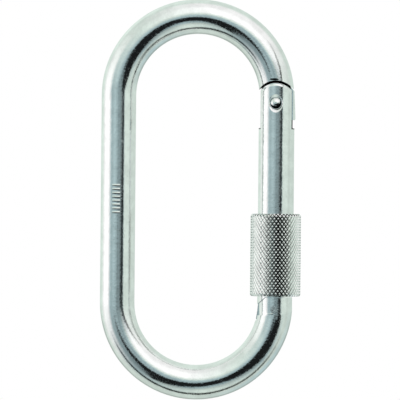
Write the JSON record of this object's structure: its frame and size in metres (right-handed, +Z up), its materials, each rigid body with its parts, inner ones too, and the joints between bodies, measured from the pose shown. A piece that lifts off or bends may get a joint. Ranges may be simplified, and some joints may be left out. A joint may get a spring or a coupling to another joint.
{
  "type": "screw-lock oval carabiner",
  "caption": "Oval screw-lock carabiner: a polished round bar bent into an oval, with a sprung gate that hooks on a latch pin and a knurled sleeve that screws down over the joint.",
  "frame": {"origin": "hanging point: the lowest point of the top bow's inner surface, on the centre plane of the oval", "axes": "+Z up along the oval's long axis, +X from the spine towards the gate, +Y through the oval from the front to the back"},
  "size_m": [0.0552, 0.0138, 0.11],
  "materials": {
    "polished_bar": "bright plated and polished, with fine handling scratches",
    "polished_gate": "bright plated and polished, with fine handling scratches",
    "knurled_metal": "bright plated over a diamond knurl, with chamfered ends",
    "rivet_steel": "bright, peened dome",
    "pin_steel": "ground",
    "spring_steel": "drawn wire"
  },
  "bodies": {
    "frame": {"frame": "polished_bar", "latch_pin": "pin_steel"},
    "gate": {"gate": "polished_gate", "hinge_rivet": "rivet_steel", "gate_spring": "spring_steel"},
    "sleeve": {"lock_sleeve": "knurled_metal"},
    "plunger": {"spring_plunger": "pin_steel"}
  },
  "joints": [
    {"name": "gate_hinge", "type": "hinge", "parent": "frame", "child": "gate", "pos_m": [0.02175, 0, -0.019], "axis": [0, 1, 0], "range_deg": [0, 30], "stiffness_Nm_per_rad": 0.12, "springref_deg": -45.84},
    {"name": "plunger_travel", "type": "slide", "parent": "gate", "child": "plunger", "axis": [0, 0, 1], "range_m": [-0.00092, 0], "deforming": ["gate_spring"]},
    {"name": "sleeve_travel", "type": "slide", "parent": "gate", "child": "sleeve", "axis": [0, 0, 1], "range_m": [-0.0052, 0]}
  ],
  "couplings": [
    {"joint": "plunger_travel", "follows": "gate_hinge", "m_per_rad": -0.00174}
  ]
}
